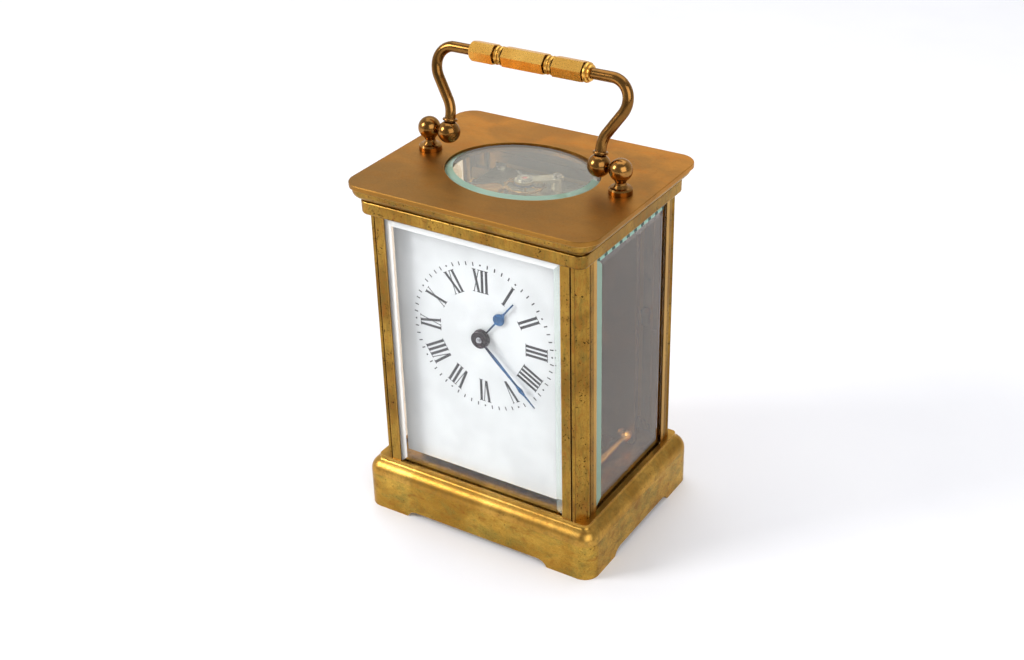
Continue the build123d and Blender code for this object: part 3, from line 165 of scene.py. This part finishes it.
def patina(shader, tones, along, stained, cloud, aged):
    """Slow changes of tone under olive and rusty stains; also gives how rusty each place is."""
    bright, deep, olive, rust = tones
    tone = shader.spread(shader.noise(17, detail=3, warp=0.6), 0.36, 0.64)
    colour = shader.mix(tone, deep, bright)
    olive_cloud = shader.noise(cloud, detail=7, rough=0.72, warp=0.3, place=along)
    colour = shader.mix(shader.spread(olive_cloud, 0.42, 0.7, 0.0, stained), colour, olive)
    rust_cloud = shader.noise(cloud * 0.6, detail=7, rough=0.75, warp=0.5, place=along)
    rusty = shader.spread(rust_cloud, 0.46, 0.74, 0.0, stained)
    colour = shader.mix(rusty, colour, rust)
    if aged:
        front = shader.spread(shader.axis("Y"), CASE_FRONT * MM, CASE_BACK * MM, aged, 0.0)
        colour = shader.mix(front, colour, olive)
    return colour, rusty


def speckle(shader, colour, deep, speckled):
    """Fine mottling and dark pits, the pits in patches; also gives how deep each pit is."""
    fine = shader.noise(0.6, detail=4, rough=0.7)
    colour = shader.mix(shader.spread(fine, 0.45, 0.7, 0.0, 0.4 * speckled + 0.15), colour, deep)
    least = 0.64 - 0.055 * speckled
    pits = shader.spread(shader.noise(0.7, detail=3, rough=0.6), least, least + 0.07)
    patches = shader.spread(shader.noise(5.5, detail=2), 0.42, 0.6, 0.2, 1.0)
    pits = shader.math("MULTIPLY", shader.math("MULTIPLY", pits, patches), speckled)
    return shader.mix(pits, colour, DARK), pits


def grime_shade_and_wear(shader, colour, grime_and_shade, worn):
    """Grime and painted shade in the grooves, and rubbed outer edges."""
    # ambient occlusion paints shade, along with grime, into grooves and corners
    grime_and_shade_mask = shader.spread(shader.crevices(1.0), 0.3, 0.8, grime_and_shade, 0.0)
    colour = shader.mix(grime_and_shade_mask, colour, DARK)
    rubbed = shader.spread(shader.crevices(0.3, inside=True), 0.55, 0.85, worn, 0.0)
    return shader.mix(rubbed, colour, WORN)


def brass(
    name, tones, rough, speckled=0.5, stained=0.5, grime_and_shade=0.7, worn=0.3, cloud=4.0, grain=(1, 1, 1), aged=0.0
):
    """Old brass of bright, deep, olive and rusty tones.

    Stains are about cloud millimetres across; aged is how much browner the front of the clock has turned.
    """
    shader = Shader(name)
    along = shader.stretched(*grain)
    colour, rusty = patina(shader, tones, along, stained, cloud, aged)
    colour, pits = speckle(shader, colour, tones[1], speckled)
    colour = grime_shade_and_wear(shader, colour, grime_and_shade, worn)
    strokes = shader.noise(0.35, detail=3, rough=0.6, place=along)
    dullness = shader.math("ADD", strokes, shader.math("MULTIPLY", rusty, 0.5))
    level = shader.spread(dullness, 0.3, 1.0, *rough)
    height = shader.math("SUBTRACT", shader.math("MULTIPLY", strokes, 0.25), pits)
    shader.bump(height, 0.007)
    return shader.finish(Base_Color=colour, Metallic=1.0, Roughness=level, Specular_Tint=EDGE_TINT)


def pass_light(shader):
    """Lets lamps shine straight through a glass surface on to what is behind it."""
    open_way = shader.add("ShaderNodeBsdfTransparent")
    open_way.inputs["Color"].default_value = GLASS_SHADE
    rays = shader.add("ShaderNodeLightPath")
    passes = shader.add("ShaderNodeMixShader")
    shader.feed(passes.inputs["Fac"], rays.outputs["Is Shadow Ray"])
    shader.feed(passes.inputs[1], shader.surface.outputs["BSDF"])
    shader.feed(passes.inputs[2], open_way.outputs["BSDF"])
    shader.feed(shader.output.inputs["Surface"], passes.outputs["Shader"])


def glass(name, tint=(1.0, 1.0, 1.0), milk=0.0, rough=0.0):
    """Clear glass; milk gives that share of it a matt layer in the tint, for tinted edges and, in
    near-white, for painted highlights on bevels.
    """
    shader = Shader(name)
    shader.finish(Base_Color=tint, Roughness=rough, IOR=GLASS_IOR, Transmission_Weight=1.0 - milk)
    pass_light(shader)
    return shader.material


def reflection_dashed_edge(name, pitch=4.15, band_foot=97.7):
    """The upper bevel of a side glass, with the mouldings' reflection painted on as a row of dark and pale
    green dashes.
    """
    shader = Shader(name)
    along = shader.math("FRACT", shader.math("MULTIPLY", shader.axis("Y"), 1 / (pitch * MM)))
    reflected_dashes = shader.spread(shader.math("ABSOLUTE", shader.math("SUBTRACT", along, 0.5)), 0.16, 0.24)
    # dark and pale green dashes: a painted reflection of the mouldings above
    green = shader.mix(reflected_dashes, srgb(34, 74, 58), srgb(150, 196, 176))
    band = shader.spread(shader.axis("Z"), band_foot * MM, (band_foot + 0.25) * MM)
    shader.finish(
        Base_Color=shader.mix(band, (1.0, 1.0, 1.0), green), Roughness=0.05, IOR=GLASS_IOR,
        Transmission_Weight=shader.spread(band, 0.0, 1.0, 1.0, 0.2),
    )
    pass_light(shader)
    return shader.material


def enamel():
    """White fired enamel: glossy, with a faint unevenness and a few tiny specks."""
    shader = Shader("white_enamel")
    tone = shader.spread(shader.noise(14, detail=2), 0.35, 0.65)
    colour = shader.mix(tone, srgb(208, 210, 211), srgb(218, 220, 221))
    dust = shader.spread(shader.noise(0.6, detail=1), 0.76, 0.8, 0.0, 0.25)
    colour = shader.mix(dust, colour, srgb(150, 145, 135))
    shader.bump(shader.noise(11, detail=1), 0.012)
    return shader.finish(Base_Color=colour, Roughness=0.16, Coat_Weight=0.4, Coat_Roughness=0.05)


def fired_ink():
    """Black enamel paint, thinner in places."""
    shader = Shader("dial_black")
    thin = shader.spread(shader.noise(0.5, detail=3), 0.4, 0.7)
    colour = shader.mix(thin, srgb(16, 16, 20), srgb(32, 32, 38))
    return shader.finish(Base_Color=colour, Roughness=0.3)


def blued_steel(name, boss_radius):
    """Steel blued by heat; the boss round the arbor is a darker brown-purple."""
    shader = Shader(name)
    middle = JOINTS["minute_turn"]["pos_m"]
    flat = shader.add("ShaderNodeMapping")
    shader.feed(flat.inputs["Vector"], shader.place)
    flat.inputs["Location"].default_value = (-middle[0], 0.0, -middle[2])
    flat.inputs["Scale"].default_value = (1.0, 0.0, 1.0)
    length = shader.add("ShaderNodeVectorMath", operation="LENGTH")
    shader.feed(length.inputs[0], flat.outputs["Vector"])
    reach = length.outputs["Value"]
    blue = shader.mix(shader.spread(shader.noise(1.2), 0.35, 0.65), srgb(34, 78, 122), srgb(54, 104, 150))
    stem = shader.spread(reach, (boss_radius + 1.0) * MM, (boss_radius + 5.5) * MM)
    colour = shader.mix(stem, srgb(40, 44, 66), blue)
    boss = shader.spread(reach, boss_radius * MM, (boss_radius + 0.12) * MM)
    colour = shader.mix(boss, srgb(46, 36, 40), colour)
    return shader.finish(Base_Color=colour, Metallic=1.0, Roughness=shader.spread(boss, 0, 1, 0.34, 0.24))


def worked_steel(name, colour, rough, grain=(1, 1, 1)):
    """Bright steel or silvered metal with a fine grain and a little tarnish."""
    shader = Shader(name)
    strokes = shader.noise(0.3, detail=3, place=shader.stretched(*grain))
    tarnish = shader.spread(shader.noise(3.0, detail=4), 0.45, 0.7, 0.0, 0.5)
    dull = tuple(level * 0.55 for level in colour)
    shader.bump(strokes, 0.008)
    level = shader.spread(strokes, 0.3, 0.7, *rough)
    return shader.finish(Base_Color=shader.mix(tarnish, colour, dull), Metallic=1.0, Roughness=level)


def ruby():
    """Polished red stone, a little uneven in colour."""
    shader = Shader("ruby")
    colour = shader.mix(shader.noise(0.4), srgb(120, 18, 40), srgb(190, 40, 66))
    return shader.finish(Base_Color=colour, Roughness=0.06, Coat_Weight=1.0)


def table_top():
    """The plain pale sheet that the clock stands on."""
    shader = Shader("pale_table")
    colour = shader.mix(shader.noise(40, detail=2), srgb(244, 244, 248), srgb(250, 250, 253))
    return shader.finish(Base_Color=colour, Roughness=0.6)


BRASSES = {  # bright, deep, olive and rusty tones
    "top": (srgb(196, 132, 50), srgb(168, 114, 46), srgb(124, 92, 44), srgb(200, 118, 38)),
    "case": (srgb(168, 130, 56), srgb(130, 94, 38), srgb(108, 94, 46), srgb(150, 88, 38)),
    "base": (srgb(202, 160, 70), srgb(160, 120, 46), srgb(122, 116, 58), srgb(146, 90, 36)),
    "mould": (srgb(202, 156, 74), srgb(166, 122, 50), srgb(128, 108, 56), srgb(146, 94, 40)),
    "handle": (srgb(164, 118, 62), srgb(124, 86, 40), srgb(96, 70, 36), srgb(146, 92, 42)),
    "grip": (srgb(240, 188, 94), srgb(222, 166, 76), srgb(190, 138, 66), srgb(214, 150, 66)),
    "plate": (srgb(124, 100, 66), srgb(92, 72, 46), srgb(76, 68, 48), srgb(94, 66, 42)),
    # the case brass painted lighter, standing in for light on the door panel inside the case
    "inner": (srgb(204, 164, 98), srgb(178, 138, 76), srgb(154, 128, 76), srgb(172, 124, 66)),
    "pillar": (srgb(250, 214, 140), srgb(236, 196, 120), srgb(216, 176, 104), srgb(220, 170, 100)),
    "wheel": (srgb(212, 172, 98), srgb(178, 138, 70), srgb(140, 110, 60), srgb(170, 120, 60)),
}
POLISHED = brass("polished_brass", BRASSES["wheel"], (0.2, 0.36), speckled=0.2, stained=0.3, grime_and_shade=0.3)
MATERIALS = {
    "brass_top": brass(
        "brass_top", BRASSES["top"], (0.36, 0.5), speckled=0.3, stained=0.5, grime_and_shade=0.5, worn=0.4,
        cloud=14.0, grain=(0.5, 1.0, 1.0), aged=0.7,
    ),
    "brass_case": brass(
        "brass_case", BRASSES["case"], (0.28, 0.46), speckled=1.0, stained=0.75, grime_and_shade=0.6, worn=0.5,
        cloud=1.6, grain=(1.0, 1.0, 0.3),
    ),
    "brass_base": brass(
        "brass_base", BRASSES["base"], (0.24, 0.4), speckled=0.6, stained=0.8, grime_and_shade=0.2, worn=0.5,
        cloud=5.0, grain=(0.6, 0.6, 1.0),
    ),
    "brass_handle": brass(
        "brass_handle", BRASSES["handle"], (0.16, 0.3), speckled=0.3, stained=0.6, grime_and_shade=0.8, worn=0.3,
    ),
    "brass_grip": brass(
        "brass_grip", BRASSES["grip"], (0.26, 0.4), speckled=0.25, stained=0.2, grime_and_shade=0.85, worn=0.5,
    ),
    "brass_plate": brass(
        "brass_plate", BRASSES["plate"], (0.3, 0.5), speckled=0.3, stained=0.5, grime_and_shade=0.3, worn=0.4,
        grain=(1.0, 1.0, 0.15),
    ),
    "brass_wheel": POLISHED,
    "glass": glass("clear_glass"),
    "enamel": enamel(),
    "steel": worked_steel("bright_steel", srgb(176, 176, 180), (0.2, 0.38)),
    "silvered": worked_steel("silvering", srgb(206, 202, 190), (0.26, 0.42), grain=(0.2, 1.0, 1.0)),
    "blued_steel": worked_steel("blued_spring", srgb(70, 96, 160), (0.2, 0.3)),
    "ruby": ruby(),
}
SMOKY = glass("smoky_glass", srgb(238, 220, 196))
OWN = {  # nodes whose looks differ from their slot's
    "hour_hand": blued_steel("blued_hour", 2.8),
    "minute_hand": blued_steel("blued_minute", 2.65),
    "pillars": brass("bright_brass", BRASSES["pillar"], (0.18, 0.3), speckled=0.1, stained=0.1, grime_and_shade=0.2),
    # the door panel gets the lighter brass, which paints light on to its shaded inner face
    "door_panel": brass("dull_brass_painted_light", BRASSES["inner"], (0.5, 0.7), stained=0.3, grime_and_shade=0.4),
    "top_glass": glass("dusty_glass", srgb(240, 236, 222), milk=0.07),
    "left_glass": SMOKY,
    "right_glass": SMOKY,
}
GREEN_EDGE = glass("green_edge", srgb(154, 186, 166), milk=0.6, rough=0.1)
# a near-white matt layer on the front glass's left and top bevels: a painted highlight
PAINTED_HIGHLIGHT_EDGE = glass("painted_highlight_edge", srgb(252, 254, 253), milk=0.65, rough=0.05)
HAZY_EDGE = glass("hazy_edge", srgb(226, 238, 230), milk=0.25)
# a painted reflection of the mouldings on the upper bevels of the side glasses
REFLECTION_DASHED_EDGE = reflection_dashed_edge("reflection_dashed_edge")


def dress_faces(node, rules):
    """Gives the faces that a rule picks by their normal their own material; the first rule wins."""
    for _, material in rules:
        node.data.materials.append(material)
    for face in node.data.polygons:
        for slot, (picks, _) in enumerate(rules, start=1):
            if picks(face.normal):
                face.material_index = slot
                break


# how far a face's normal leans before it counts as a bevel or a moulding
BEVEL_LEAN, MOULDING_LEAN = 0.1, 0.04
SIDE_BEVELS = [
    (lambda normal: normal.z > BEVEL_LEAN, REFLECTION_DASHED_EDGE),
    (lambda normal: normal.y < -BEVEL_LEAN, GREEN_EDGE),
]
PLATE_EDGES = [(lambda normal: abs(normal.y) < 0.5, POLISHED)]
MOULDING = brass(
    "brass_moulding", BRASSES["mould"], (0.3, 0.44), speckled=0.45, stained=0.6, grime_and_shade=0.5, worn=0.3,
    cloud=3.0,
)
FACE_RULES = {
    "base": [(lambda normal: normal.z > MOULDING_LEAN, MOULDING)],
    "front_plate": PLATE_EDGES,
    "back_plate": PLATE_EDGES,
    "front_glass": [
        (lambda normal: normal.x < -BEVEL_LEAN or normal.z > BEVEL_LEAN, PAINTED_HIGHLIGHT_EDGE),
        (lambda normal: normal.x > BEVEL_LEAN, HAZY_EDGE),
    ],
    "left_glass": SIDE_BEVELS,
    "right_glass": SIDE_BEVELS,
    "top_glass": [(lambda normal: 0.2 < normal.z < 0.98 and normal.y < 0.12, GREEN_EDGE)],
}


def dress_nodes():
    """Gives every CAD node the material of its slot, or its own."""
    slot_of = {part["node"]: part["material_slot"] for part in frame["record"]["subparts"]}
    for name, node in frame["nodes"].items():
        node.data.materials.clear()
        node.data.materials.append(OWN.get(name) or MATERIALS[slot_of[name]])
        if name in FACE_RULES:
            dress_faces(node, FACE_RULES[name])


dress_nodes()

# ---------------------------------------------------------------- printing on the dial
PRINT_PROUD, PRINT_SUNK = 0.03, 0.01  # how far the fired paint stands off the enamel and goes into it
NUMERALS = ("XII", "I", "II", "III", "IIII", "V", "VI", "VII", "VIII", "IX", "X", "XI")
NUMERAL_FOOT, NUMERAL_HEAD = 14.4, 21.4
TICK_LOW, TICK_HIGH, TICK_WIDTH, DOT_RADIUS = 22.35, 23.55, 0.36, 0.3
THICK, THIN, SERIF, SERIF_REACH = 0.82, 0.26, 0.2, 0.26
ADVANCE = {"I": 1.42, "V": 2.35, "X": 2.35}
# each stroke of a numeral: place of its foot and of its head across the numeral, and its width
STROKES = {
    "I": ((0.0, 0.0, THICK),),
    "V": ((0.1, -0.8, THICK), (0.32, 0.95, THIN)),
    "X": ((0.75, -0.75, THICK), (-0.85, 0.85, THIN)),
}


class DialPrint:
    """Flat closed shapes laid on the face of the dial, placed by an angle from twelve and a radius."""

    def __init__(self):
        self.mesh = bmesh.new()
        middle = JOINTS["minute_turn"]["pos_m"]
        self.middle = Vector((middle[0], 0.0, middle[2]))
        self.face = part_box("dial")[0][1]

    def shape(self, angle, points):
        """A prism over points of (across, outward) millimetres, across being clockwise."""
        turn = math.radians(angle)
        across = Vector((math.cos(turn), 0.0, -math.sin(turn)))
        outward = Vector((math.sin(turn), 0.0, math.cos(turn)))
        layers = []
        for depth in (self.face + PRINT_SUNK * MM, self.face - PRINT_PROUD * MM):
            layer = []
            for side, radius in points:
                at = self.middle + (across * side + outward * radius) * MM
                layer.append(self.mesh.verts.new((at.x, depth, at.z)))
            layers.append(layer)
        back, front = layers
        self.mesh.faces.new(back)
        self.mesh.faces.new(list(reversed(front)))
        for i in range(len(points)):
            j = (i + 1) % len(points)
            self.mesh.faces.new((back[j], back[i], front[i], front[j]))

    def bar(self, angle, left, right, low, high):
        """An upright box of paint."""
        self.shape(angle, [(left, low), (right, low), (right, high), (left, high)])

    def numeral(self, angle, text):
        """The letters of one numeral side by side, centred on the angle."""
        across = -sum(ADVANCE[letter] for letter in text) / 2
        for letter in text:
            across += ADVANCE[letter] / 2
            for foot, head, width in STROKES[letter]:
                self.stroke(angle, across + foot, across + head, width, pointed=letter == "V")
            across += ADVANCE[letter] / 2

    def stroke(self, angle, foot, head, width, pointed):
        """One slanting stroke with a serif at its head and, unless it is pointed, at its foot."""
        half = width / 2
        self.shape(angle, [(foot - half, NUMERAL_FOOT), (foot + half, NUMERAL_FOOT),
                           (head + half, NUMERAL_HEAD), (head - half, NUMERAL_HEAD)])
        reach = half + SERIF_REACH
        self.bar(angle, head - reach, head + reach, NUMERAL_HEAD - SERIF / 2, NUMERAL_HEAD + SERIF / 2)
        if not pointed:
            self.bar(angle, foot - reach, foot + reach, NUMERAL_FOOT - SERIF / 2, NUMERAL_FOOT + SERIF / 2)

    def minute(self, number):
        """A round dot at each five minutes and a tick at the others."""
        if number % 5:
            self.bar(6 * number, -TICK_WIDTH / 2, TICK_WIDTH / 2, TICK_LOW, TICK_HIGH)
            return
        middle, sides = (TICK_LOW + TICK_HIGH) / 2, 10
        spin = [2 * math.pi * step / sides for step in range(sides)]
        dot = [(DOT_RADIUS * math.cos(a), middle + DOT_RADIUS * math.sin(a)) for a in spin]
        self.shape(6 * number, dot)

    def piece(self, name, material):
        """The finished print as one object."""
        bmesh.ops.recalc_face_normals(self.mesh, faces=self.mesh.faces)
        data = bpy.data.meshes.new(name)
        self.mesh.to_mesh(data)
        self.mesh.free()
        piece = bpy.data.objects.new(name, data)
        scene.collection.objects.link(piece)
        data.materials.append(material)
        return piece


dial_print = DialPrint()
for hour, text in enumerate(NUMERALS):
    dial_print.numeral(30 * hour, text)
for minute in range(60):
    dial_print.minute(minute)
printed = dial_print.piece("dial_numerals", fired_ink())
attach(printed, "case")


# ---------------------------------------------------------------- table, lights and camera
def table(size=3.0):
    """A flat square under the clock, size metres wide."""
    data = bpy.data.meshes.new("table")
    half = size / 2
    corners = [(-half, -half, 0), (half, -half, 0), (half, half, 0), (-half, half, 0)]
    data.from_pydata(corners, [], [(0, 1, 2, 3)])
    data.materials.append(table_top())
    top = bpy.data.objects.new("table", data)
    scene.collection.objects.link(top)


CLOCK_MIDDLE = Vector((0.0, 0.0, 0.07))


def softbox(name, at, width, height, power):
    """A white area light that looks at the middle of the clock, in metres and watts."""
    data = bpy.data.lights.new(name, "AREA")
    data.shape = "RECTANGLE"
    data.size, data.size_y, data.energy = width, height, power
    lamp = bpy.data.objects.new(name, data)
    lamp.location = at
    lamp.rotation_euler = (CLOCK_MIDDLE - Vector(at)).to_track_quat("-Z", "Y").to_euler()
    scene.collection.objects.link(lamp)


def surroundings(brightest=(-0.5, 0.5, -0.3), dim=0.3, bright=0.95):
    """A pale studio, brightest low down behind the clock and dim overhead and to the right."""
    world = bpy.data.worlds.new("room")
    world.use_nodes = True
    scene.world = world
    nodes, links = world.node_tree.nodes, world.node_tree.links
    towards = nodes.new("ShaderNodeTexCoord")
    facing = nodes.new("ShaderNodeVectorMath")
    facing.operation = "DOT_PRODUCT"
    links.new(towards.outputs["Generated"], facing.inputs[0])
    facing.inputs[1].default_value = brightest
    level = nodes.new("ShaderNodeMapRange")
    level.interpolation_type = "SMOOTHSTEP"
    links.new(facing.outputs["Value"], level.inputs["Value"])
    limits = {"From Min": -0.55, "From Max": 0.6, "To Min": dim, "To Max": bright}
    for name, number in limits.items():
        level.inputs[name].default_value = number
    nodes["Background"].inputs["Color"].default_value = (0.97, 0.98, 1.0, 1.0)
    links.new(level.outputs["Result"], nodes["Background"].inputs["Strength"])


YAW, PITCH, ROLL = -32.93, 29.89, -1.65  # degrees: turned from +Y, tilted down, rolled
CAMERA_AT = (211.5, -334.3, 285.2)  # millimetres
LENS, SENSOR = 53.8348, 36.0  # millimetres


def camera():
    """The camera at its place, turned, tilted and rolled."""
    yaw, pitch, roll = (math.radians(angle) for angle in (YAW, PITCH, ROLL))
    ahead = Vector((math.sin(yaw) * math.cos(pitch), math.cos(yaw) * math.cos(pitch), -math.sin(pitch)))
    right = Vector((math.cos(yaw), -math.sin(yaw), 0.0))
    up = right.cross(ahead)
    side = right * math.cos(roll) + up * math.sin(roll)
    top = up * math.cos(roll) - right * math.sin(roll)
    data = bpy.data.cameras.new("camera")
    data.lens, data.sensor_width, data.clip_start = LENS, SENSOR, 0.01
    eye = bpy.data.objects.new("camera", data)
    turn = Matrix((side, top, -ahead)).transposed().to_4x4()
    eye.matrix_world = Matrix.Translation(Vector(CAMERA_AT) * MM) @ turn
    scene.collection.objects.link(eye)
    scene.camera = eye


table()
surroundings()
softbox("key", (-0.75, -0.65, 0.65), 0.4, 0.4, 8.0)
softbox("fill", (0.85, -0.5, 0.6), 1.0, 0.8, 6.0)
softbox("top", (-0.1, 0.3, 1.1), 1.2, 1.0, 5.5)
camera()
scene.view_settings.view_transform = "Standard"
